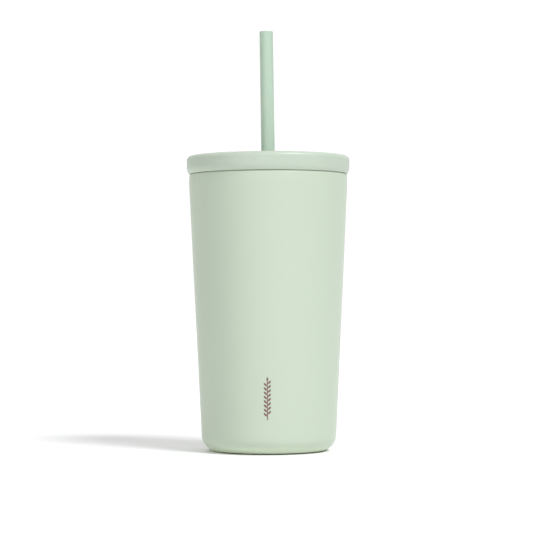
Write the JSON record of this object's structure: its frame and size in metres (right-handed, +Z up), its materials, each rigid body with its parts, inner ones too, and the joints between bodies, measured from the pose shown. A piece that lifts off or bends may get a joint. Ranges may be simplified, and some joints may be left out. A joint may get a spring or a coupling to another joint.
{
  "type": "insulated tumbler with straw",
  "caption": "Tapered vacuum-insulated steel cup with a round push-on plastic lid, a soft sealing ring and a straight drinking straw through a grommet in the lid.",
  "frame": {"origin": "centre of the foot, on the surface the cup stands on", "axes": "+Z up along the cup's axis; the straw's upper end leans towards -X; the air vent in the lid is on +Y, so -Y is the front"},
  "size_m": [0.084, 0.084, 0.2166],
  "materials": {
    "painted_steel": "fine matte powder coat in pale sage green",
    "bare_steel": "stainless steel, satin turned inside",
    "copper": null,
    "braze": "dull braze bead",
    "getter_metal": "dull pressed metal powder",
    "foot_silicone": "matte silicone in dark grey-green",
    "lid_plastic": "satin polypropylene in pale sage green",
    "clear_silicone": "milky food-grade silicone",
    "straw_plastic": "satin polypropylene in pale mint green"
  },
  "bodies": {
    "cup": {"outer_shell": "painted_steel", "liner_wall": "bare_steel", "liner_heel": "bare_steel", "liner_bottom": "bare_steel", "copper_foil": "copper", "vacuum_bottom": "bare_steel", "evacuation_seal": "braze", "getter": "getter_metal", "getter_bracket": "bare_steel", "bottom_cover": "bare_steel", "foot_pad": "foot_silicone"},
    "lid_seal": {"lid_gasket": "clear_silicone"},
    "lid": {"lid_cover": "lid_plastic", "lid_plug": "lid_plastic"},
    "grommet": {"straw_grommet": "clear_silicone"},
    "straw": {"straw": "straw_plastic"}
  },
  "joints": [
    {"name": "lid_lift", "type": "slide", "parent": "cup", "child": "lid_seal", "axis": [0, 0, 1], "range_m": [0, 0.165]},
    {"name": "lid_twist", "type": "hinge", "parent": "lid_seal", "child": "lid", "pos_m": [0, 0, 0.144], "axis": [0, 0, 1], "continuous": true},
    {"name": "straw_tilt", "type": "hinge", "parent": "lid", "child": "grommet", "pos_m": [0, 0, 0.15068], "axis": [0, 1, 0], "range_deg": [-2.35, 3.65]},
    {"name": "straw_slide", "type": "slide", "parent": "grommet", "child": "straw", "axis": [-0.0113, 0, 0.9999], "range_m": [0, 0.0948]}
  ]
}
